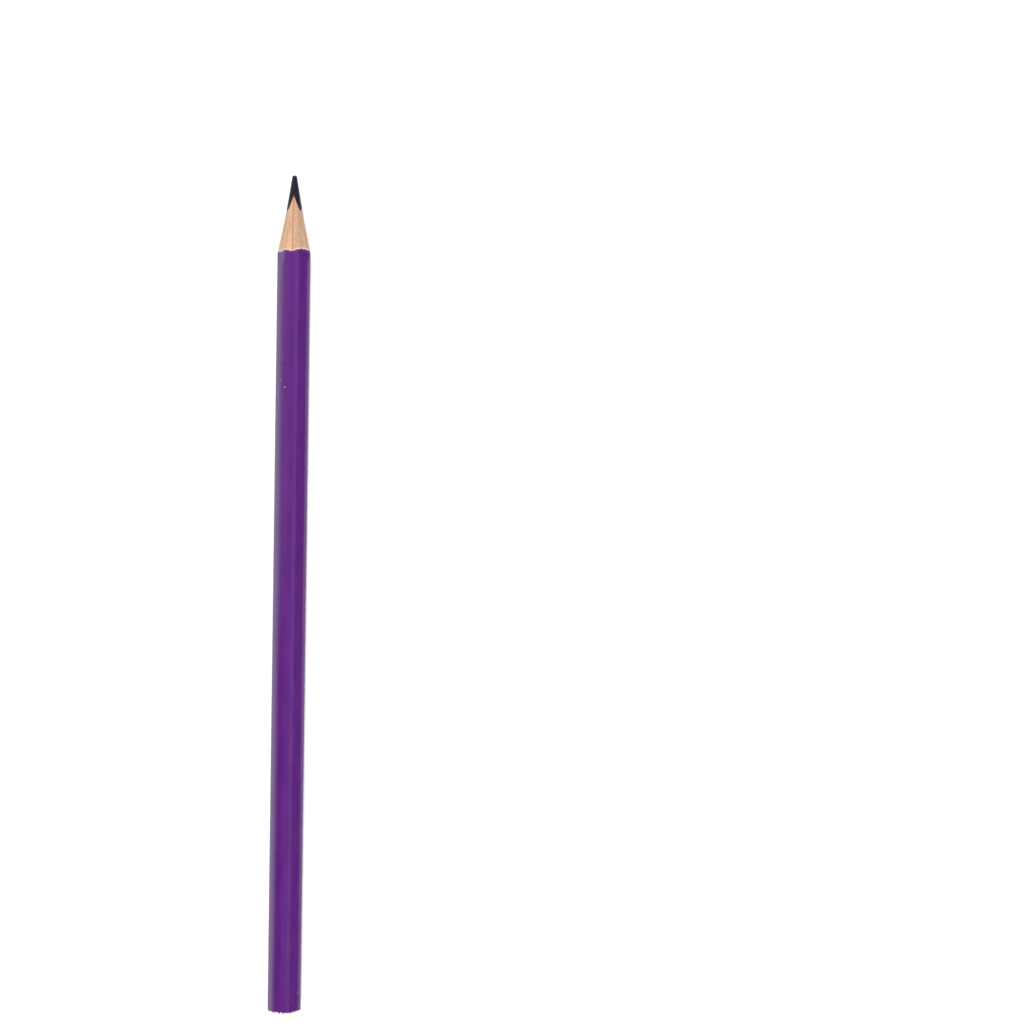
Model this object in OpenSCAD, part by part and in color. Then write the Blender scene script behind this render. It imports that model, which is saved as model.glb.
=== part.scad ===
// A wood-cased colour pencil of rounded triangular section, sharpened at one end. It lies on one of
// its flat faces with a ridge on top. The long axis is X and the point is at +X. The origin is at the
// middle of the surface that it lies on.

/* [Barrel] */
// Length from the cut end to the point
pencil_l = 175; // [90:1:200]
// Width of the lacquered barrel across two of its rounded corners
barrel_w = 7; // [6.6:0.1:9]
// Outside radius of the barrel's three rounded corners
corner_r = 1.95; // [1.5:0.05:2.3]

/* [Core] */
// Diameter of the colour core
core_d = 3; // [2:0.1:3.2]

/* [Glue] */
// Thickness of the glue film between the two halves of the casing
glue_t = 0.1; // [0.05:0.01:0.2]
// Thickness of the glue sleeve that holds the core in its grooves
bond_t = 0.06; // [0.04:0.01:0.12]

/* [Paint] */
// Thickness of the pale undercoat on the wood
ground_t = 0.06; // [0.04:0.01:0.1]
// Thickness of the coloured lacquer
colour_t = 0.07; // [0.04:0.01:0.1]
// Thickness of the gloss varnish
clear_t = 0.04; // [0.04:0.01:0.08]

/* [Sharpened end] */
// Distance from the point back to where the cut leaves the barrel's surface
sharpened_l = 16.4; // [14:0.1:22]
// Distance from the point back to where the cut gets steeper
slim_l = 9; // [6:0.1:11]
// Width of the section where the cut gets steeper
slim_w = 3.9; // [3.3:0.05:4.2]
// Width of the blunt point
point_w = 0.9; // [0.4:0.05:1.2]
// How far the point stands above the barrel's axis, as the cut runs a little askew
point_rise = 0.3; // [0.05:0.05:0.4]

/* [Hidden] */

// The section is three circles joined by flats: the middles of the circles are this far from the axis
corner_c = (barrel_w - 2 * corner_r) / sqrt(3);
// Height of the axis above the surface that the pencil lies on
axis_z = corner_c / 2 + corner_r;
// How far under the varnish's surface the lacquer, the undercoat and the wood begin
colour_in = clear_t;
ground_in = colour_in + colour_t;
wood_in = ground_in + ground_t;
// Radius of the groove that holds the core and its glue
groove_r = core_d / 2 + bond_t;
// More than the section measures in any direction, for the shapes that cut it
beyond = 2 * barrel_w;
// The sharpened shape's cut is carried on this far past the barrel's surface
run_out = 2;
// Number of flats in each rounded corner of the sharpened shape
corner_flats = 10;
$fn = 96;

// Direction of one of the three corners, the first one up
function corner_at(i) = 90 + 120 * i;

// The point at a given angle round corner i of a rounded triangle that is w wide
function on_corner(w, i, angle) =
    w / barrel_w * (corner_c * [cos(corner_at(i)), sin(corner_at(i))]
                    + corner_r * [cos(angle), sin(angle)]);

// The outline of a rounded triangle that is w wide, as points
function outline(w) =
    [for (i = [0:2]) for (j = [0:corner_flats])
        on_corner(w, i, corner_at(i) - 60 + 120 * j / corner_flats)];

// How fast the section's width grows along the steep stretch of the cut
steepness = (barrel_w - slim_w) / (sharpened_l - slim_l);
// Width of the sharpened shape where its steep stretch is carried on past the barrel
wide_w = barrel_w + run_out * steepness;

// Distance from the point back to where the cut passes through a flat at some depth under the surface
function cut_at(depth) = sharpened_l - barrel_w * depth / axis_z / steepness;

// Where the sharpened shape changes its slope: the place along X, the width there, and how far its
// middle stands above the barrel's axis
stations = [
    [-pencil_l / 2 - run_out, wide_w, 0],
    [pencil_l / 2 - sharpened_l - run_out, wide_w, 0],
    [pencil_l / 2 - slim_l, slim_w, point_rise * (1 - slim_l / sharpened_l)],
    [pencil_l / 2, point_w, point_rise]
];

// Turns a shape drawn with its outline in XY and its length along Z to lie along the pencil's axis
module lay_down(start) {
    translate([start, 0, axis_z]) rotate([90, 0, 90]) children();
}

// The barrel's section, with its outline moved in by depth
module section(depth) {
    r = corner_r - depth;
    for (i = [0:2]) rotate(120 * i) translate([0, corner_c]) circle(r = r);
    polygon([for (i = [0:2]) for (side = [-60, 60])
        corner_c * [cos(corner_at(i)), sin(corner_at(i))]
        + r * [cos(corner_at(i) + side), sin(corner_at(i) + side)]]);
}

// The section from the cut end along a length of the pencil
module prism(depth, length = pencil_l) {
    lay_down(-pencil_l / 2) linear_extrude(height = length) section(depth);
}

// A round bar on the pencil's axis that passes the cut end
module bar(r) {
    lay_down(-pencil_l / 2 - run_out) cylinder(h = pencil_l + 2 * run_out, r = r);
}

// Everything inside the sharpened outline: a barrel that is too wide to cut, then the two tapers
module sharpened_shape() {
    n = 3 * (corner_flats + 1);
    last = len(stations) - 1;
    points = [for (s = stations) for (p = outline(s[1])) [s[0], p[0], p[1] + axis_z + s[2]]];
    walls = [for (k = [0:last - 1]) for (j = [0:n - 1])
        [k * n + j, (k + 1) * n + j, (k + 1) * n + (j + 1) % n, k * n + (j + 1) % n]];
    rear = [for (j = [0:n - 1]) j];
    front = [for (j = [n - 1:-1:0]) last * n + j];
    polyhedron(points = points, faces = concat([rear, front], walls));
}

// One layer of paint between two depths under the surface. It chips off square where the cut meets it
module coat(outer_depth, inner_depth) {
    difference() {
        prism(outer_depth, pencil_l - cut_at(outer_depth));
        lay_down(-pencil_l / 2 - run_out)
            linear_extrude(height = pencil_l + 2 * run_out) section(inner_depth);
    }
}

// Everything beside the glue film: on the +Y side for 1, or on the -Y side for -1
module beside_glue(side) {
    mirror([0, side < 0 ? 1 : 0, 0])
        translate([-pencil_l, glue_t / 2, -beyond]) cube([2 * pencil_l, beyond, 3 * beyond]);
}

// One half of the wood with its groove, on the side that beside_glue names
module casing_half(side) {
    intersection() {
        difference() {
            prism(wood_in);
            bar(groove_r);
        }
        beside_glue(side);
        sharpened_shape();
    }
}

// The glue film on one side of the core, as high as the wood: over the axis or under it
module glue_film(low_z, high_z) {
    intersection() {
        difference() {
            prism(wood_in);
            bar(groove_r);
        }
        translate([-pencil_l, -glue_t / 2, low_z]) cube([2 * pencil_l, glue_t, high_z - low_z]);
        sharpened_shape();
    }
}

// The colour core, from the cut end to the point
module core() {
    color("#3b3446") intersection() {
        lay_down(-pencil_l / 2) cylinder(h = pencil_l, d = core_d);
        sharpened_shape();
    }
}

// The sleeve of glue between the core and its grooves
module core_bond() {
    color("#8a5a38") intersection() {
        difference() {
            lay_down(-pencil_l / 2) cylinder(h = pencil_l, r = groove_r);
            bar(core_d / 2);
        }
        sharpened_shape();
    }
}

module casing_left() {
    color("#dbb08c") casing_half(1);
}

module casing_right() {
    color("#d3b092") casing_half(-1);
}

module glue_line_upper() {
    color("#8a5a38") glue_film(axis_z, beyond);
}

module glue_line_lower() {
    color("#8a5a38") glue_film(-beyond, axis_z);
}

module ground_coat() {
    color("#e6c6bd") coat(ground_in, wood_in);
}

module colour_coat() {
    color("#5d2676") coat(colour_in, ground_in);
}

module clear_coat() {
    color("#74508a") coat(0, colour_in);
}

core();
core_bond();
casing_left();
casing_right();
glue_line_upper();
glue_line_lower();
ground_coat();
colour_coat();
clear_coat();
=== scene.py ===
"""A triangular wood-cased colour pencil lying on a pale table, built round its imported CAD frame.

The long axis is X with the point at +X, the top ridge is up, and the table is at z = 0. Lengths
are in metres. Directions round the barrel are angles from straight up, turning towards +Y.
"""

import bpy
import numpy as np
from mathutils import Matrix, Vector


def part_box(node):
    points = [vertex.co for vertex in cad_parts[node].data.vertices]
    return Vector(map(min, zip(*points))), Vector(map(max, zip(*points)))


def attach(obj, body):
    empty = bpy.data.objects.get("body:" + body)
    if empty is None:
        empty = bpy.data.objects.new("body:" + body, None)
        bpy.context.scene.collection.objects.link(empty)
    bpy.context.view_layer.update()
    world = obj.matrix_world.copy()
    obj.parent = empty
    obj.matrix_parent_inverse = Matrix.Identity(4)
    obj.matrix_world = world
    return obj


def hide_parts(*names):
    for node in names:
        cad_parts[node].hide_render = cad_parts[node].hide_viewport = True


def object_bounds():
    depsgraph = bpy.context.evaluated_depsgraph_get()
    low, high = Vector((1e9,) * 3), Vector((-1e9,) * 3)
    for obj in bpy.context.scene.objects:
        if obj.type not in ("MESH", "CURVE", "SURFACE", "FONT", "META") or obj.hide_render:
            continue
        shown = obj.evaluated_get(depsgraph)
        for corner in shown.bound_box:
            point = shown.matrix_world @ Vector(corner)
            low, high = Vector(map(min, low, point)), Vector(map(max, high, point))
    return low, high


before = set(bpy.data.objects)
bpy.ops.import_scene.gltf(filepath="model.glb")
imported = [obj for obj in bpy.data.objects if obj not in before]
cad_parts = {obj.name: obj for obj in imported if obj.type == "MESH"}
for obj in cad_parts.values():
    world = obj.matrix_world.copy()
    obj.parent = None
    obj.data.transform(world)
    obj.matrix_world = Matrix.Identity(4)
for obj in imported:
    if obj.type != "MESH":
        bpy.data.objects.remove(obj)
cad_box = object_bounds()

MM = 0.001

# ---------------------------------------------------------------- sizes


def size_of(node):
    """Width and height of a CAD node."""
    low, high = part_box(node)
    return high.y - low.y, high.z - low.z


REAR_X, POINT_X = cad_box[0].x, cad_box[1].x
BARREL_W, BARREL_H = size_of("clear_coat")
# A rounded triangle is sqrt(3) c + 2 r wide and 1.5 c + 2 r high
CORNER_C = (BARREL_W - BARREL_H) / (3**0.5 - 1.5)
CORNER_R = (BARREL_W - 3**0.5 * CORNER_C) / 2
AXIS_Z = CORNER_C / 2 + CORNER_R
CORE_R = size_of("core")[0] / 2
GROOVE_R = size_of("core_bond")[0] / 2
GLUE_HALF = size_of("glue_line_upper")[0] / 2
GROUND_IN = (BARREL_W - size_of("ground_coat")[0]) / 2
WOOD_W = 2 * (size_of("casing_left")[0] + GLUE_HALF)
WOOD_IN = (BARREL_W - WOOD_W) / 2

# The sharpened end, as distances back from the point
SHARPENED_L = POINT_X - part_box("clear_coat")[1].x
SLIM_L, SLIM_W = 9.0 * MM, 3.9 * MM
POINT_W, POINT_RISE = 0.9 * MM, 0.3 * MM

# Towards the point: the radius of the cut's corners as a share of its width, and the half turn of
# its sides in degrees
SLIM_CORNER, SLIM_BOW = 0.13, 29.0
# Half turn of the lacquer's bow on the two upper sides, in degrees, as it dries thickest there
LACQUER_BOW = 7.0
# A side can't be quite flat in section_radius, so this half turn stands for flat
FLAT_BOW = 0.05

# Detail of the meshes
COLUMNS = 288
HALF_COLUMNS = 150


# ---------------------------------------------------------------- noise and curves


def smoothstep(low, high, value):
    """0 below low, 1 above high, and smooth between."""
    t = np.clip((value - low) / (high - low), 0, 1)
    return t * t * (3 - 2 * t)


def value_noise(*coords, seed=0):
    """Smooth noise from -1 to 1 over any number of coordinates, each counted in noise cells."""
    coords = np.broadcast_arrays(*coords)
    cells = [np.floor(c).astype(np.int64) for c in coords]
    parts = [c - k for c, k in zip(coords, cells)]
    parts = [p * p * (3 - 2 * p) for p in parts]
    total = np.zeros(coords[0].shape)
    for corner in np.ndindex(*(2,) * len(coords)):
        key = np.full(total.shape, seed * 7919 + 101, np.int64)
        weight = np.ones(total.shape)
        for k, p, c in zip(cells, parts, corner):
            key = (key * 1103515245 + (k + c) * 12345 + 54321) & 0x7FFFFFFF
            key = key ^ (key >> 13)
            weight = weight * (p if c else 1 - p)
        key = (key * 1103515245 + 12345) & 0x7FFFFFFF
        total += weight * (((key >> 8) & 0xFFFF) / 32767.5 - 1)
    return total


def ring_noise(angle, cells, seed):
    """Smooth noise round the barrel, with about this many cells in a turn."""
    reach = cells / (2 * np.pi)
    return value_noise(np.cos(angle) * reach + 50, np.sin(angle) * reach + 50, seed=seed)


# ---------------------------------------------------------------- the section and the cut


def section_radius(angle, c, r, bow):
    """Distance from its middle to the edge of a rounded triangle whose sides are bowed outwards.

    The corners are circles of radius r, c from the middle. Each side is an arc, tangent to them,
    that turns through twice bow, in radians.
    """
    turn = 2 * np.pi / 3
    folded = np.abs((angle + turn / 2) % turn - turn / 2)
    spread = c / np.sin(bow)
    behind = spread * np.sin(np.pi / 3 - bow)
    side_r = r + spread * 3**0.5 / 2
    end_y = r * np.sin(np.pi / 3 - bow)
    end_z = c + r * np.cos(np.pi / 3 - bow)
    on_corner = c * np.cos(folded) + np.sqrt(np.maximum(r**2 - (c * np.sin(folded)) ** 2, 0))
    off = np.pi / 3 - folded
    on_side = np.sqrt(side_r**2 - (behind * np.sin(off)) ** 2) - behind * np.cos(off)
    return np.where(folded < np.arctan2(end_y, end_z), on_corner, on_side)


def barrel_radius(angle, depth, bow=FLAT_BOW):
    """Distance from the axis to the surface at some depth under the varnish, in each direction.

    The two upper sides may be bowed outwards; the one underneath is flat.
    """
    flat = section_radius(angle, CORNER_C, CORNER_R - depth, np.radians(FLAT_BOW))
    bowed = section_radius(angle, CORNER_C, CORNER_R - depth, np.radians(bow))
    return flat + (bowed - flat) * (np.abs(angle) < 2 * np.pi / 3)


STEEPNESS = (BARREL_W - SLIM_W) / (SHARPENED_L - SLIM_L)


def cut_width(back):
    """Width of the sharpened section, a little rounded where the slope changes."""
    slim = POINT_W + (SLIM_W - POINT_W) * back / SLIM_L
    steep = SLIM_W + STEEPNESS * (back - SLIM_L)
    blend = 0.02 * MM
    return (slim + steep) / 2 + np.sqrt(((slim - steep) / 2) ** 2 + blend**2)


def edge_wave(angle):
    """How far back the cut's edge wanders: it runs a little askew, with scallops along it."""
    askew = 0.17 * np.sin(angle)
    scallops = 0.26 * ring_noise(angle, 15, 75) + 0.15 * ring_noise(angle, 40, 238)
    return MM * (askew + scallops + 0.06 * ring_noise(angle, 110, 6))


def cut_radius(back, angle):
    """Distance from the barrel's axis to the cut surface, at a distance back from the point."""
    back, angle = np.broadcast_arrays(back, angle)
    shifted = back - edge_wave(angle) * smoothstep(11 * MM, 15.2 * MM, back)
    width = cut_width(shifted)
    rise = POINT_RISE * np.clip(1 - shifted / SHARPENED_L, 0, 1)
    slim = 1 - smoothstep(8 * MM, 15 * MM, shifted)
    r = width * (CORNER_R / BARREL_W + (SLIM_CORNER - CORNER_R / BARREL_W) * slim)
    c = (width - 2 * r) / 3**0.5
    bow = np.radians(0.5 + (SLIM_BOW - 0.5) * slim)
    radius = section_radius(angle, c, r, bow)
    # The section's middle stands a little above the axis
    for _ in range(4):
        y, z = radius * np.sin(angle), radius * np.cos(angle) - rise
        own = section_radius(np.arctan2(y, z), c, r, bow)
        radius = radius * own / np.hypot(y, z)
    return radius


def cut_reaches(radius, angle):
    """Distance back from the point at which the cut surface is this far from the axis."""
    low, high = np.zeros(angle.shape), np.full(angle.shape, SHARPENED_L + 3 * MM)
    for _ in range(32):
        middle = (low + high) / 2
        inside = cut_radius(middle, angle) < radius
        low, high = np.where(inside, middle, low), np.where(inside, high, middle)
    return (low + high) / 2


def place(x, angle, radius):
    """Points at a distance from the axis, in the row frame."""
    x, angle, radius = np.broadcast_arrays(x, angle, radius)
    return np.stack([x, radius * np.sin(angle), AXIS_Z + radius * np.cos(angle)], -1)


# ---------------------------------------------------------------- meshes


def finish_mesh(name, vertices, faces, material, nodes, sharp=35):
    """Makes a closed mesh into a piece that rides on the pencil and stands for CAD nodes."""
    mesh = bpy.data.meshes.new(name)
    mesh.from_pydata([tuple(v) for v in vertices], [], faces)
    mesh.validate()
    mesh.polygons.foreach_set("use_smooth", [True] * len(mesh.polygons))
    mesh.set_sharp_from_angle(angle=np.radians(sharp))
    mesh.materials.append(material)
    piece = bpy.data.objects.new(name, mesh)
    bpy.context.scene.collection.objects.link(piece)
    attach(piece, "root")
    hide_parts(*nodes)
    return piece


def ring_of_loops(points):
    """Faces of a tube whose every column of points is a closed loop, joined all the way round."""
    columns, rows = points.shape[:2]
    faces = []
    for i in range(columns):
        j = (i + 1) % columns
        for k in range(rows):
            m = (k + 1) % rows
            faces.append((i * rows + k, i * rows + m, j * rows + m, j * rows + k))
    return faces


def half_of_loops(points):
    """Faces of a bar whose every column of points is a closed loop, capped at both ends."""
    columns, rows = points.shape[:2]
    faces = []
    for i in range(columns - 1):
        for k in range(rows):
            m = (k + 1) % rows
            faces.append((i * rows + k, i * rows + m, (i + 1) * rows + m, (i + 1) * rows + k))
    faces.append(tuple(range(rows))[::-1])
    faces.append(tuple((columns - 1) * rows + k for k in range(rows)))
    return faces


def solid_of_rings(points):
    """Faces of a solid made of rings, closed by a vertex at each end: the last two vertices."""
    columns, rows = points.shape[:2]
    first, last = columns * rows, columns * rows + 1
    faces = []
    for i in range(columns):
        j = (i + 1) % columns
        faces.append((first, i * rows, j * rows))
        faces.append((last, j * rows + rows - 1, i * rows + rows - 1))
        for k in range(rows - 1):
            faces.append((i * rows + k, i * rows + k + 1, j * rows + k + 1, j * rows + k))
    return faces


def spaced(start, end, count, ends=0.0):
    """Numbers from start to end, packed closer towards both by ends, from 0 to 1."""
    t = np.linspace(0, 1, count)
    return start + (end - start) * ((1 - ends) * t + ends * (1 - np.cos(np.pi * t)) / 2)


# ---------------------------------------------------------------- materials


class Shader:
    """A node material under construction, measured in millimetres of the row frame."""

    def __init__(self, name, **values):
        self.material = bpy.data.materials.new(name)
        self.material.use_nodes = True
        self.tree = self.material.node_tree
        self.bsdf = self.tree.nodes["Principled BSDF"]
        for socket, value in values.items():
            self.bsdf.inputs[socket.replace("_", " ")].default_value = value
        self.object = self.node("ShaderNodeTexCoord").outputs["Object"]

    def node(self, kind, settings=(), **inputs):
        """A node with its settings and its inputs, each a value or another node's output."""
        made = self.tree.nodes.new(kind)
        for name, value in dict(settings).items():
            setattr(made, name, value)
        for name, value in inputs.items():
            socket = made.inputs[int(name[1:]) if name[1:].isdigit() else name.replace("_", " ")]
            if isinstance(value, bpy.types.NodeSocket):
                self.tree.links.new(value, socket)
            else:
                socket.default_value = value
        return made

    def noise(self, per_mm, detail=3.0, shift=0.0, roughness=0.55):
        """Noise with this many cells to a millimetre along x, y and z."""
        scale = tuple(n / MM for n in per_mm)
        placed = self.node("ShaderNodeMapping", i1=(shift, shift, shift), i3=scale, i0=self.object)
        texture = self.node(
            "ShaderNodeTexNoise",
            Vector=placed.outputs[0],
            Scale=1.0,
            Detail=detail,
            Roughness=roughness,
        )
        return texture.outputs[0]

    def math(self, operation, first, second=0.0, clamp=False):
        settings = {"operation": operation, "use_clamp": clamp}
        return self.node("ShaderNodeMath", settings, i0=first, i1=second).outputs[0]

    def rescale(self, value, low, high, new_low=0.0, new_high=1.0):
        """Takes low..high to new_low..new_high, smoothly and no further."""
        made = self.node("ShaderNodeMapRange", {"interpolation_type": "SMOOTHSTEP"}, i0=value)
        for index, number in enumerate((low, high, new_low, new_high), 1):
            made.inputs[index].default_value = number
        return made.outputs[0]

    def mix(self, amount, first, second, how="MIX"):
        """A colour between two, or the second laid over the first in some other way."""
        made = self.node("ShaderNodeMix", {"data_type": "RGBA", "blend_type": how}, i0=amount)
        for socket, value in ((made.inputs[6], first), (made.inputs[7], second)):
            if isinstance(value, bpy.types.NodeSocket):
                self.tree.links.new(value, socket)
            else:
                socket.default_value = value
        return made.outputs[2]

    def axis(self, letter):
        """One object coordinate, in metres."""
        return self.node("ShaderNodeSeparateXYZ", i0=self.object).outputs["XYZ".index(letter)]

    def near(self, x, y, long, wide, lean=0.0):
        """1 on a small streak at x, y on the upper sides, long by wide, and 0 away from it."""
        dx = self.math("SUBTRACT", self.axis("X"), x)
        dy = self.math("SUBTRACT", self.axis("Y"), y)
        dy = self.math("SUBTRACT", dy, self.math("MULTIPLY", dx, lean))
        dx = self.math("POWER", self.math("ABSOLUTE", self.math("DIVIDE", dx, long / 2)), 2.0)
        dy = self.math("POWER", self.math("ABSOLUTE", self.math("DIVIDE", dy, wide / 2)), 2.0)
        streak = self.rescale(self.math("ADD", dx, dy), 1.0, 0.3)
        upper = self.math("GREATER_THAN", self.axis("Z"), AXIS_Z - 1.0 * MM)
        return self.math("MULTIPLY", streak, upper)

    def finish(self, colour, roughness, height=None, bump=0.0):
        """Joins up the colour, the roughness and a bump of so many millimetres."""
        self.tree.links.new(colour, self.bsdf.inputs["Base Color"])
        self.tree.links.new(roughness, self.bsdf.inputs["Roughness"])
        if height is not None:
            made = self.node("ShaderNodeBump", Strength=1.0, Distance=bump * MM, Height=height)
            self.tree.links.new(made.outputs[0], self.bsdf.inputs["Normal"])
        return self.material


def srgb(code):
    """A colour from its hex code, as the shader takes it."""
    values = [int(code[i : i + 2], 16) / 255 for i in (0, 2, 4)]
    return (*[v / 12.92 if v <= 0.04045 else ((v + 0.055) / 1.055) ** 2.4 for v in values], 1.0)


def wood_material(name, pale, deep, seed):
    """Bare cut wood: long soft bands, fine grain along the pencil, pores, and glue with painted
    shade at the seam.
    """
    s = Shader(name, Roughness=0.62, Specular_IOR_Level=0.35)
    bands = s.noise((0.05, 1.1, 1.1), 2.0, seed)
    grain = s.noise((0.35, 9.0, 9.0), 4.0, seed + 5.0, 0.6)
    fibre = s.noise((1.1, 22.0, 22.0), 3.0, seed + 9.0, 0.6)
    pores = s.rescale(s.noise((0.9, 15.0, 15.0), 2.0, seed + 13.0), 0.63, 0.74)
    specks = s.rescale(s.noise((4.0, 12.0, 12.0), 2.0, seed + 17.0), 0.66, 0.76)
    colour = s.mix(s.rescale(bands, 0.3, 0.7), srgb(pale), srgb(deep))
    colour = s.mix(s.rescale(grain, 0.42, 0.66, 0.0, 0.6), colour, srgb("ad7650"))
    colour = s.mix(s.rescale(fibre, 0.50, 0.68, 0.0, 0.45), colour, srgb("ecd6be"))
    colour = s.mix(s.math("MULTIPLY", pores, 0.55), colour, srgb("8d5f45"))
    colour = s.mix(s.math("MULTIPLY", specks, 0.4), colour, srgb("94694f"))
    # Darker beside the seam: glue soaked into the wood, and painted shade standing for the seam's
    # groove
    from_seam = s.math("ABSOLUTE", s.math("SUBTRACT", s.axis("Y"), 0.06 * MM))
    glue_stain_and_seam_shade = s.rescale(from_seam, 0.26 * MM, 0.05 * MM, 0.0, 0.65)
    colour = s.mix(glue_stain_and_seam_shade, colour, srgb("a56f4e"))
    # The sawn end is paler, with open pores
    sawn = s.rescale(s.axis("X"), REAR_X + 0.9 * MM, REAR_X + 0.1 * MM, 0.0, 0.65)
    colour = s.mix(sawn, colour, srgb("f8ecd8"))
    open_ends = s.rescale(s.noise((0.5, 14.0, 14.0), 2.0, seed + 21.0), 0.6, 0.7)
    at_end = s.rescale(s.axis("X"), REAR_X + 0.3 * MM, REAR_X, 0.0, 0.5)
    colour = s.mix(s.math("MULTIPLY", open_ends, at_end), colour, srgb("96704f"))
    rough = s.rescale(grain, 0.3, 0.7, 0.55, 0.75)
    height = s.math("SUBTRACT", s.math("ADD", grain, s.math("MULTIPLY", fibre, 0.6)), pores)
    return s.finish(colour, rough, height, 0.02)


def glue_material():
    """Dried glue that has gone brown, with the odd bubble."""
    s = Shader("dried_glue", Roughness=0.5, Specular_IOR_Level=0.4)
    cloud = s.noise((1.2, 8.0, 8.0), 3.0)
    bubbles = s.rescale(s.noise((7.0, 20.0, 20.0), 1.0, 3.0), 0.62, 0.72)
    colour = s.mix(s.rescale(cloud, 0.35, 0.65), srgb("ad7d5b"), srgb("946848"))
    colour = s.mix(s.math("MULTIPLY", bubbles, 0.5), colour, srgb("6a4630"))
    return s.finish(colour, s.rescale(cloud, 0.3, 0.7, 0.4, 0.65), bubbles, 0.01)


def bond_material():
    """The wood-coloured glue round the core, stained by it."""
    s = Shader("stained_bond", Roughness=0.55, Specular_IOR_Level=0.35)
    cloud = s.noise((3.0, 9.0, 9.0), 3.0, 2.0)
    colour = s.mix(s.rescale(cloud, 0.35, 0.65), srgb("6b4740"), srgb("4a2d31"))
    return s.finish(colour, s.rescale(cloud, 0.3, 0.7, 0.45, 0.7), cloud, 0.01)


def core_material():
    """Waxy dark violet core, with sharpening streaks, smeared patches and clay grains."""
    s = Shader("violet_core", Roughness=0.42, Specular_IOR_Level=0.22)
    smear = s.noise((0.7, 1.6, 1.6), 3.0, 4.0)
    streaks = s.noise((0.8, 12.0, 12.0), 3.0, 8.0)
    grains = s.noise((16.0, 16.0, 16.0), 2.0, 12.0)
    flecks = s.rescale(s.noise((9.0, 14.0, 14.0), 1.0, 16.0), 0.66, 0.76)
    colour = s.mix(s.rescale(smear, 0.3, 0.7), srgb("171023"), srgb("1e162b"))
    colour = s.mix(s.rescale(streaks, 0.4, 0.75, 0.0, 0.35), colour, srgb("2b213b"))
    colour = s.mix(s.math("MULTIPLY", flecks, 0.4), colour, srgb("6d5a78"))
    rough = s.rescale(smear, 0.3, 0.7, 0.34, 0.52)
    height = s.math("ADD", streaks, s.math("MULTIPLY", grains, 0.5))
    return s.finish(colour, rough, height, 0.012)


def undercoat_material():
    """Chalky pinkish white primer, creamy where the saw broke it."""
    s = Shader("pale_primer", Roughness=0.7, Specular_IOR_Level=0.3)
    cloud = s.noise((2.0, 3.0, 3.0), 3.0, 6.0)
    stain = s.rescale(s.noise((5.0, 6.0, 6.0), 2.0, 9.0), 0.55, 0.75)
    colour = s.mix(s.rescale(cloud, 0.35, 0.65), srgb("dfbfb4"), srgb("d6aeaa"))
    colour = s.mix(s.math("MULTIPLY", stain, 0.3), colour, srgb("b98cb0"))
    sawn = s.rescale(s.axis("X"), REAR_X + 1.5 * MM, REAR_X + 0.8 * MM, 0.0, 0.8)
    colour = s.mix(sawn, colour, srgb("f7ead8"))
    return s.finish(colour, s.rescale(cloud, 0.3, 0.7, 0.6, 0.8), cloud, 0.01)


def lacquer_material():
    """Deep violet lacquer under a clear gloss, with dust, faint polish lines and a few marks."""
    s = Shader("violet_lacquer", Roughness=0.4, Specular_IOR_Level=0.0)
    for socket, value in (("Coat Weight", 1.0), ("Coat Roughness", 0.06), ("Coat IOR", 1.5)):
        s.bsdf.inputs[socket].default_value = value
    clouds = s.noise((0.12, 0.5, 0.5), 3.0, 1.0)
    dust = s.rescale(s.noise((3.2, 3.2, 3.2), 1.0, 5.0), 0.745, 0.80)
    lines = s.noise((0.08, 7.0, 7.0), 2.0, 9.0)
    peel = s.noise((0.9, 1.4, 1.4), 2.0, 14.0)
    scratch = s.near(POINT_X - 39.1 * MM, 2.15 * MM, 2.6 * MM, 0.36 * MM, 1.2)
    nicks = s.near(POINT_X - 171.0 * MM, -3.0 * MM, 1.5 * MM, 0.22 * MM, 0.06)
    nicks = s.math("MAXIMUM", nicks, s.near(POINT_X - 170.2 * MM, -2.05 * MM, 0.35 * MM, 0.22 * MM))
    nicks = s.math("MAXIMUM", nicks, s.near(POINT_X - 172.3 * MM, -1.95 * MM, 0.5 * MM, 0.18 * MM))
    speck = s.near(POINT_X - 44.4 * MM, 1.25 * MM, 0.34 * MM, 0.40 * MM)
    faint = s.near(POINT_X - 42.9 * MM, 2.15 * MM, 0.7 * MM, 0.22 * MM)
    speck = s.math("MAXIMUM", speck, s.math("MULTIPLY", faint, 0.3))
    colour = s.mix(s.rescale(clouds, 0.35, 0.65), srgb("4f1b6c"), srgb("561f71"))
    colour = s.mix(s.math("MULTIPLY", dust, 0.35), colour, srgb("8d62a6"))
    colour = s.mix(s.math("MULTIPLY", scratch, 0.75), colour, srgb("260a34"))
    colour = s.mix(s.math("MULTIPLY", nicks, 0.22), colour, srgb("a58cb4"))
    colour = s.mix(s.math("MULTIPLY", speck, 0.8), colour, srgb("bb9dce"))
    rough = s.rescale(clouds, 0.3, 0.7, 0.32, 0.45)
    height = s.math("ADD", s.math("MULTIPLY", peel, 0.6), s.math("MULTIPLY", lines, 0.17))
    height = s.math("SUBTRACT", height, s.math("MULTIPLY", scratch, 0.8))
    height = s.math("SUBTRACT", height, s.math("MULTIPLY", nicks, 1.5))
    height = s.math("ADD", height, s.math("MULTIPLY", speck, 1.5))
    s.finish(colour, rough, height, 0.012)
    bumped = s.bsdf.inputs["Normal"].links[0].from_socket
    s.tree.links.new(bumped, s.bsdf.inputs["Coat Normal"])
    return s.material


# ---------------------------------------------------------------- the pieces

RINGS = np.linspace(-np.pi, np.pi, COLUMNS, endpoint=False)[:, None]


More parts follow.
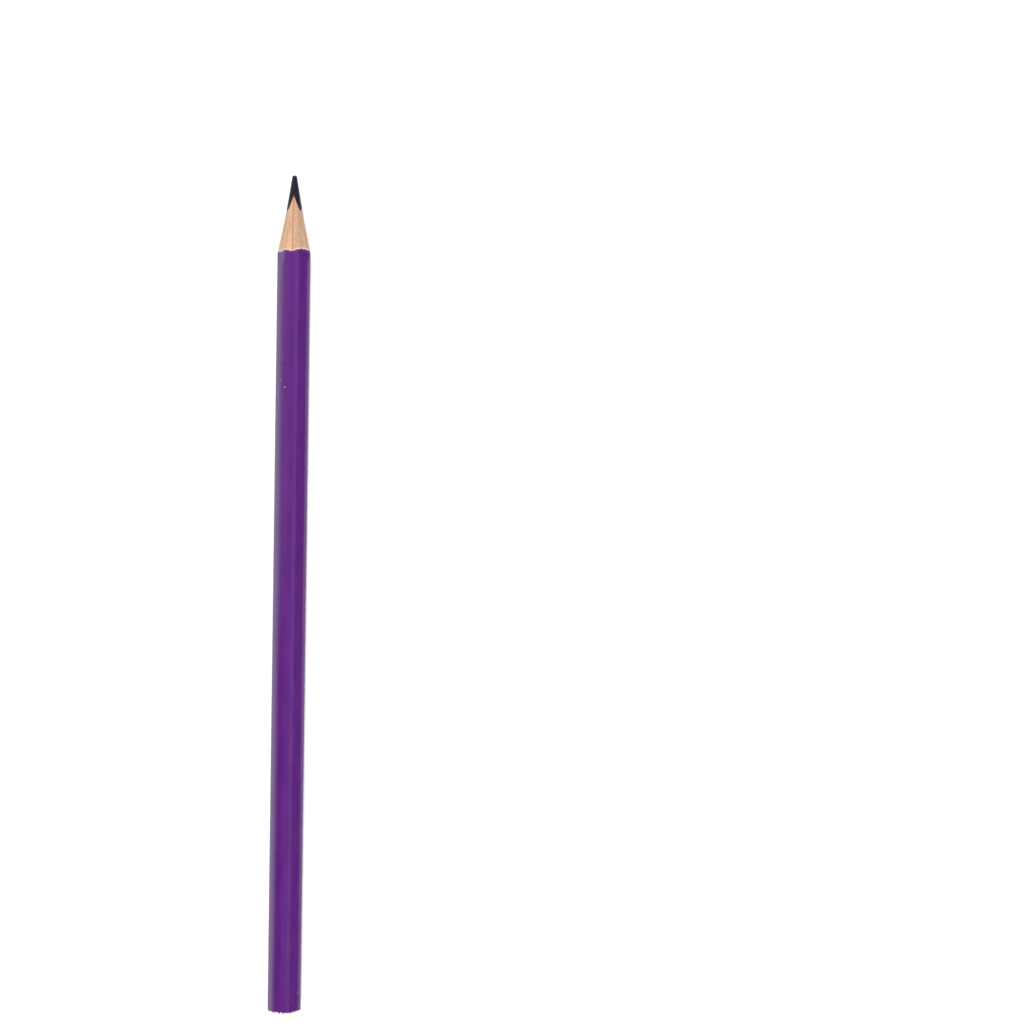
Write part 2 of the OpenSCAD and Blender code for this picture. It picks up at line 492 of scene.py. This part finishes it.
def rough_end(angle, radius, seed, depth=0.05):
    """How far forward a sawn end face lies here, with saw lines across it and torn fibres."""
    y, z = radius * np.sin(angle) / MM, radius * np.cos(angle) / MM
    lines = value_noise(3.5 * (0.9 * y + 0.44 * z), 0.25 * (0.9 * z - 0.44 * y), seed=seed)
    fibres = value_noise(9 * y, 9 * z, seed=seed + 1)
    return depth * MM * (0.5 + 0.32 * lines + 0.18 * fibres)


def wood_relief(x, angle, seed):
    """Raised grain and faint chatter on the sharpened wood, in metres below the cut."""
    x = x / MM
    grain = value_noise(x * 0.35, np.cos(angle) * 16 + 40, np.sin(angle) * 16 + 40, seed=seed)
    chatter = value_noise(x * 2.6, np.cos(angle) * 1.2 + 9, np.sin(angle) * 1.2 + 9, seed=seed + 1)
    return MM * (0.010 + 0.007 * grain + 0.003 * chatter)


def make_wood(name, side, node, material, seed):
    """Half the casing: groove inside, rough sawn end, raised grain where it is sharpened."""
    gap = np.arcsin(1.05 * GLUE_HALF / GROOVE_R)
    angle = side * np.concatenate([[0], np.linspace(gap, np.pi - gap, HALF_COLUMNS), [np.pi]])
    if side < 0:
        angle = angle[::-1]
    angle = angle[:, None]
    outer = barrel_radius(angle, WOOD_IN)
    edge = cut_reaches(outer, angle)
    peak = cut_reaches(GROOVE_R, angle)
    # The end face, from the groove out to a slightly worn rim
    across = np.linspace(0, 1, 12)[None, :]
    radius = GROOVE_R + (outer - 0.05 * MM - GROOVE_R) * across
    end = place(REAR_X + rough_end(angle, radius, seed), angle, radius)
    # Forward under the paint, then down the cut to the groove
    hidden = REAR_X + (POINT_X - edge - REAR_X) * np.linspace(0, 1, 9)[None, :-1]
    hidden = np.maximum(hidden, REAR_X + 0.08 * MM)
    barrel = place(hidden, angle, outer)
    down = np.linspace(0, 1, 100)[None, :]
    back = edge + (peak - edge) * down
    relief = wood_relief(POINT_X - back, angle, seed) * smoothstep(0, 0.02, down)
    relief = relief * smoothstep(1, 0.98, down)
    cut = place(POINT_X - back, angle, np.minimum(cut_radius(back, angle) - relief, outer))
    cut[:, -1:] = place(POINT_X - peak, angle, GROOVE_R)
    # Back along the groove
    inward = np.linspace(0, 1, barrel.shape[1] + cut.shape[1] + 1)[None, 1:-1]
    groove = place(POINT_X - peak + (REAR_X - (POINT_X - peak)) * inward, angle, GROOVE_R)
    points = np.concatenate([end, barrel, cut, groove], 1)
    points[..., 1] = side * np.maximum(side * points[..., 1], GLUE_HALF)
    faces = half_of_loops(points)
    return finish_mesh(name, points.reshape(-1, 3), faces, material, [node])


def make_seam(name, angle, node, material):
    """The glue film between the halves above or below the core, shrunk a little into the seam."""
    shrink = 0.012 * MM
    here = np.array([[angle]])
    outer = barrel_radius(here, WOOD_IN)
    edge, peak = cut_reaches(outer, here)[0, 0], cut_reaches(GROOVE_R, here)[0, 0]
    inner_x = np.linspace(REAR_X + 0.03 * MM, POINT_X - peak, 40)
    outer_x = np.linspace(REAR_X + 0.03 * MM, POINT_X - edge, 12)
    back = np.linspace(edge, peak, 60)[1:-1]
    cut = cut_radius(back, angle) - shrink
    up = np.cos(angle)
    profile = [(x, outer[0, 0]) for x in outer_x]
    profile += list(zip(POINT_X - back, cut)) + [(x, GROOVE_R) for x in inner_x[::-1]]
    points = []
    for y in up * np.linspace(-1, 1, 5):
        dip = shrink * (1 - y * y)
        points.append([(x, y * GLUE_HALF, AXIS_Z + up * (r - dip)) for x, r in profile])
    points = np.array(points)
    faces = half_of_loops(points)
    return finish_mesh(name, points.reshape(-1, 3), faces, material, [node])


def make_bond(material):
    """The glue sleeve round the core, showing as a thin line where the cut crosses it."""
    front_in, front_out = cut_reaches(CORE_R, RINGS), cut_reaches(GROOVE_R, RINGS)
    step = np.linspace(0, 1, 6)[None, :]
    rear = REAR_X + 0.06 * MM
    outside = place(rear + (POINT_X - front_out - rear) * step, RINGS, GROOVE_R)
    inside = place(rear + (POINT_X - front_in - rear) * step[:, ::-1], RINGS, CORE_R)
    points = np.concatenate([outside, inside], 1)
    faces = ring_of_loops(points)
    return finish_mesh("core_sleeve", points.reshape(-1, 3), faces, material, ["core_bond"])


def make_core(material):
    """The core: round inside the wood, cut with the casing, and blunt at the point."""
    meets = cut_reaches(CORE_R, RINGS)
    blunt = 0.10 * MM
    # Rear face
    across = np.linspace(0.08, 1, 8)[None, :]
    rear_r = CORE_R * across * (1 - 0.03 * (across == 1))
    rear = place(REAR_X + 0.03 * MM + rough_end(RINGS, rear_r, 31, 0.07), RINGS, rear_r)
    start = REAR_X + 0.14 * MM
    shaft = start + (POINT_X - meets - start) * np.linspace(0, 1, 30)[None, :-1]
    shaft = place(shaft, RINGS, CORE_R)
    # The cut, with shallow tool marks and worn facets
    t = spaced(0, 1, 150, 0.35)[None, :]
    back = meets + (blunt - meets) * t
    x = (POINT_X - back) / MM
    marks = value_noise(x * 3.2, np.cos(RINGS) * 1.5 + 9, np.sin(RINGS) * 1.5 + 9, seed=41)
    plane = value_noise(x * 0.5, np.cos(RINGS) * 3 + 20, np.sin(RINGS) * 3 + 20, seed=42)
    chips = value_noise(x * 6.0, np.cos(RINGS) * 5 + 30, np.sin(RINGS) * 5 + 30, seed=43)
    depth = 0.012 + 0.006 * marks + 0.010 * plane + 0.014 * smoothstep(0.45, 0.8, chips)
    fade = smoothstep(0, 0.03, t)
    cut = place(POINT_X - back, RINGS, cut_radius(back, RINGS) - depth * fade * MM)
    # The blunt point, worn round and a little uneven
    rim = cut_radius(blunt, RINGS) - 0.02 * MM
    rings = [rear, shaft, cut]
    middle = np.array([0.0, AXIS_Z + POINT_RISE])
    for share, drop in ((0.93, 0.055), (0.82, 0.025), (0.65, 0.010), (0.45, 0.004), (0.22, 0.001)):
        cells = 7 * rim * share / MM
        uneven = 0.02 * value_noise(cells * np.sin(RINGS) + 5, cells * np.cos(RINGS), seed=44)
        drop = np.maximum(drop + (1 - share) ** 0.5 * (0.02 + uneven), 0)
        cap = place(POINT_X - drop * MM, RINGS, rim)
        cap[..., 1:] = middle + (cap[..., 1:] - middle) * share
        rings.append(cap)
    points = np.concatenate(rings, 1)
    faces = solid_of_rings(points)
    ends = [(REAR_X + 0.06 * MM, 0, AXIS_Z), (POINT_X, 0, AXIS_Z + POINT_RISE)]
    vertices = np.concatenate([points.reshape(-1, 3), np.array(ends)])
    return finish_mesh("violet_core", vertices, faces, material, ["core"], 60)


def ragged(seed, least, most):
    """A torn edge all round: fine teeth, some deeper, between two depths."""
    teeth = np.abs(ring_noise(RINGS, 70, seed)) + 0.6 * np.abs(ring_noise(RINGS, 160, seed + 1))
    slow = 0.5 + 0.5 * ring_noise(RINGS, 9, seed + 2)
    return least + (most - least) * np.clip(0.75 * teeth + 0.35 * slow, 0, 1)


def sleeve(out_depth, in_depth, rear, chip, rows, dents=None, bow=FLAT_BOW):
    """A coat on the barrel, from its torn rear edge to the cut, where it thins to a feather."""
    outer = barrel_radius(RINGS, out_depth)
    proud = barrel_radius(RINGS, out_depth, bow) - outer
    inner = barrel_radius(RINGS, in_depth)
    thick = outer - inner
    front_out = POINT_X - cut_reaches(outer, RINGS) - chip
    front_in = np.maximum(POINT_X - cut_reaches(inner, RINGS) - chip, front_out + 0.02 * MM)
    step = rows[None, :]
    x = rear + (front_out - rear) * step
    surface = outer + proud * smoothstep(0, 2.5 * MM, front_out - x)
    if dents is not None:
        surface = surface - dents(x, RINGS)
    # The rear edge is broken off, rounded over its thickness
    surface[:, 0:1] = outer + proud - 0.6 * thick
    slope = np.linspace(0, 1, 6)[None, 1:]
    edge = place(front_out + (front_in - front_out) * slope, RINGS, outer - thick * slope)
    back = front_in + (rear - front_in) * np.linspace(0, 1, 8)[None, 1:]
    lining = place(back, RINGS, inner * np.ones(back.shape))
    return np.concatenate([place(x, RINGS, surface), edge, lining], 1)


def make_undercoat(material):
    """The primer under the lacquer, showing as a pale uneven rim at both ends."""
    chip = MM * 0.05 * (1 + ring_noise(RINGS, 60, 61))
    rear = REAR_X + MM * ragged(62, 0.08, 0.30)
    rows = spaced(0, 1, 24, 0.5)
    points = sleeve(GROUND_IN, WOOD_IN, rear, chip, rows)
    faces = ring_of_loops(points)
    name = "primer_coat"
    return finish_mesh(name, points.reshape(-1, 3), faces, material, ["ground_coat"])


def lacquer_dents(x, angle):
    """Depth of the lacquer's unevenness: slow ripples, runs along it, and dents near the end."""
    mm = x / MM
    around = (np.cos(angle), np.sin(angle))
    slow = value_noise(mm * 0.07, around[0] * 1.4 + 9, around[1] * 1.4 + 9, seed=71)
    runs = value_noise(mm * 0.22, around[0] * 4 + 19, around[1] * 4 + 19, seed=72)
    depth = 0.010 * (1 + slow) / 2 + 0.004 * (1 + runs) / 2
    back = (POINT_X - x) / MM
    y = barrel_radius(angle, 0) * np.sin(angle) / MM
    # Two dents, as distance from the point, y, length, width and depth in millimetres
    dents = ((171.3, -2.5, 1.3, 0.5, 0.035), (168.8, -2.1, 0.8, 0.4, 0.02))
    for at, off, long, wide, deep in dents:
        reach = ((back - at) / long) ** 2 + ((y - off) / wide) ** 2
        depth = depth + deep * np.exp(-reach) * (np.cos(angle) > -0.2)
    return depth * MM


def make_lacquer(material):
    """Colour lacquer and clear varnish as one glossy skin with real thickness."""
    chip = 0.03 + 0.08 * ring_noise(RINGS, 34, 81) + 0.06 * ring_noise(RINGS, 90, 82)
    chip = MM * np.maximum(chip, 0.01)
    rear = REAR_X + MM * ragged(83, 0.08, 0.50)
    # Rows close together over the torn rear edge, the dents beside it and the feathered front edge
    rows = [[0, 0.0006], np.linspace(0.0012, 0.05, 34), np.linspace(0.05, 0.998, 199)[1:]]
    rows = np.concatenate([*rows, [0.9988, 0.9993, 0.9996, 0.9998, 1]])
    points = sleeve(0.0, GROUND_IN, rear, chip, rows, lacquer_dents, LACQUER_BOW)
    faces = ring_of_loops(points)
    nodes = ["colour_coat", "clear_coat"]
    return finish_mesh("lacquer_skin", points.reshape(-1, 3), faces, material, nodes, 50)


def make_pencil():
    """All eight pieces."""
    # Both halves are the same wood; the right copy is darker, painted shade as if less light fell
    # on that side
    wood_left = wood_material("pale_wood_left", "dab592", "c59a76", 2.0)
    wood_right = wood_material("pale_wood_right_painted_shade", "c5a285", "b08b70", 31.0)
    make_wood("wood_left", 1, "casing_left", wood_left, 11)
    make_wood("wood_right", -1, "casing_right", wood_right, 21)
    glue = glue_material()
    make_seam("glue_seam_upper", 0.0, "glue_line_upper", glue)
    make_seam("glue_seam_lower", np.pi, "glue_line_lower", glue)
    make_bond(bond_material())
    make_core(core_material())
    make_undercoat(undercoat_material())
    make_lacquer(lacquer_material())


# ---------------------------------------------------------------- the studio


def make_floor():
    """A plain pale table top that glows a little, so that shadows on it stay faint."""
    s = Shader("pale_table", Roughness=0.75, Specular_IOR_Level=0.2)
    s.bsdf.inputs["Emission Color"].default_value = (1, 1, 1, 1)
    s.bsdf.inputs["Emission Strength"].default_value = 0.1
    cloud = s.noise((0.004, 0.004, 0.004), 2.0)
    colour = s.mix(s.rescale(cloud, 0.3, 0.7), srgb("f3f3f3"), srgb("f1f1f1"))
    material = s.finish(colour, s.rescale(cloud, 0.3, 0.7, 0.72, 0.78))
    half = 4.0
    mesh = bpy.data.meshes.new("table")
    corners = [(-half, -half, 0), (half, -half, 0), (half, half, 0), (-half, half, 0)]
    mesh.from_pydata(corners, [], [(0, 1, 2, 3)])
    mesh.materials.append(material)
    floor = bpy.data.objects.new("table", mesh)
    bpy.context.scene.collection.objects.link(floor)
    # The gloss sees the room's own table below the horizon
    floor.visible_glossy = False


def make_light(name, place_at, aim_at, width, height, power):
    """A soft box facing a point."""
    data = bpy.data.lights.new(name, "AREA")
    data.shape = "RECTANGLE"
    data.size, data.size_y = width, height
    data.energy = power
    lamp = bpy.data.objects.new(name, data)
    lamp.location = place_at
    lamp.rotation_mode = "QUATERNION"
    lamp.rotation_quaternion = (Vector(aim_at) - Vector(place_at)).to_track_quat("-Z", "Y")
    bpy.context.scene.collection.objects.link(lamp)
    return lamp


def make_lights():
    """Two big soft boxes high up beyond the ends of the pencil."""
    for name, x in (("box_ahead", 1.3), ("box_behind", -1.3)):
        lamp = make_light(name, (x, 0, 1.5), (0, 0, 0), 0.5, 1.2, 20.5)
        # The paint's cut edge would mirror the one ahead as a spark
        lamp.visible_glossy = name == "box_behind"


def make_ramp(tree, value, stops):
    """A grey that depends on a value through smooth stops of position and level."""
    ramp = tree.nodes.new("ShaderNodeValToRGB")
    ramp.color_ramp.interpolation = "EASE"
    spots = ramp.color_ramp.elements
    while len(spots) < len(stops):
        spots.new(0.5)
    for spot, (position, level) in zip(spots, stops):
        spot.position = position
        spot.color = (level, level, level, 1)
    tree.links.new(value, ramp.inputs[0])
    return ramp.outputs[0]


def step_between(tree, value, low, high):
    """Goes smoothly from 0 at low to 1 at high."""
    made = tree.nodes.new("ShaderNodeMapRange")
    made.interpolation_type = "SMOOTHSTEP"
    tree.links.new(value, made.inputs["Value"])
    made.inputs["From Min"].default_value = low
    made.inputs["From Max"].default_value = high
    return made.outputs[0]


def mix_levels(tree, amount, first, second):
    """A level between two, by an amount from 0 to 1."""
    mix = tree.nodes.new("ShaderNodeMix")
    mix.data_type = "RGBA"
    for socket, value in ((0, amount), (6, first), (7, second)):
        tree.links.new(value, mix.inputs[socket])
    return mix.outputs[2]


# Grey levels of the room, from straight down, at 0, through the horizon, at 0.5, to straight up
ROOM_LEFT = ((0.0, 1.0), (0.2, 0.9), (0.33, 0.12), (0.5, 0.03), (0.86, 0.06), (1.0, 0.25))
ROOM_LEFT_AHEAD = ((0.0, 1.0), (0.2, 0.9), (0.33, 0.45), (0.5, 0.5), (0.86, 0.5), (1.0, 0.25))
ROOM_RIGHT = (
    (0.0, 1.0),
    (0.2, 0.85),
    (0.26, 0.1),
    (0.5, 0.12),
    (0.6, 0.5),
    (0.8, 0.6),
    (1.0, 0.25),
)
ROOM_ENDS = ((0.0, 0.9), (0.45, 0.45), (0.7, 0.45), (0.85, 2.6), (1.0, 2.6))


def make_room():
    """What the gloss reflects: a room dim on the left, less so ahead, with a broad soft box on the
    right, light high up beyond both ends, and a pale table below."""
    world = bpy.data.worlds.new("room")
    bpy.context.scene.world = world
    world.use_nodes = True
    tree = world.node_tree
    direction = tree.nodes.new("ShaderNodeTexCoord").outputs["Generated"]
    split = tree.nodes.new("ShaderNodeSeparateXYZ")
    tree.links.new(direction, split.inputs[0])
    height = tree.nodes.new("ShaderNodeMapRange")
    tree.links.new(split.outputs["Z"], height.inputs["Value"])
    height.inputs["From Min"].default_value = -1
    ahead = step_between(tree, split.outputs["X"], -0.06, -0.005)
    side = step_between(tree, split.outputs["Y"], -0.12, 0.12)
    left = make_ramp(tree, height.outputs[0], ROOM_LEFT)
    left_ahead = make_ramp(tree, height.outputs[0], ROOM_LEFT_AHEAD)
    left = mix_levels(tree, ahead, left, left_ahead)
    right = make_ramp(tree, height.outputs[0], ROOM_RIGHT)
    level = mix_levels(tree, side, right, left)
    along = tree.nodes.new("ShaderNodeMath")
    along.operation = "ABSOLUTE"
    tree.links.new(split.outputs["X"], along.inputs[0])
    ends = step_between(tree, along.outputs[0], 0.35, 0.7)
    bright = make_ramp(tree, height.outputs[0], ROOM_ENDS)
    level = mix_levels(tree, ends, level, bright)
    tree.links.new(level, tree.nodes["Background"].inputs["Color"])
    tree.nodes["Background"].inputs["Strength"].default_value = 1.0


def make_camera():
    """Straight above the table, the pencil left of the middle with its point at the top."""
    height, lean = 0.5985, np.radians(0.755)
    right_of_middle, above_middle = 46.65 * MM, 17.1 * MM
    up = Vector((np.cos(lean), np.sin(lean), 0))
    right = Vector((np.sin(lean), -np.cos(lean), 0))
    data = bpy.data.cameras.new("camera")
    data.sensor_width, data.lens = 36, 100
    camera = bpy.data.objects.new("camera", data)
    camera.location = right * right_of_middle + up * above_middle + Vector((0, 0, height))
    axes = Matrix((right, up, Vector((0, 0, 1)))).transposed()
    camera.rotation_mode = "QUATERNION"
    camera.rotation_quaternion = axes.to_quaternion()
    bpy.context.scene.collection.objects.link(camera)
    bpy.context.scene.camera = camera


make_camera()
make_room()
make_lights()
make_floor()
make_pencil()
bpy.context.scene.view_settings.view_transform = "Standard"
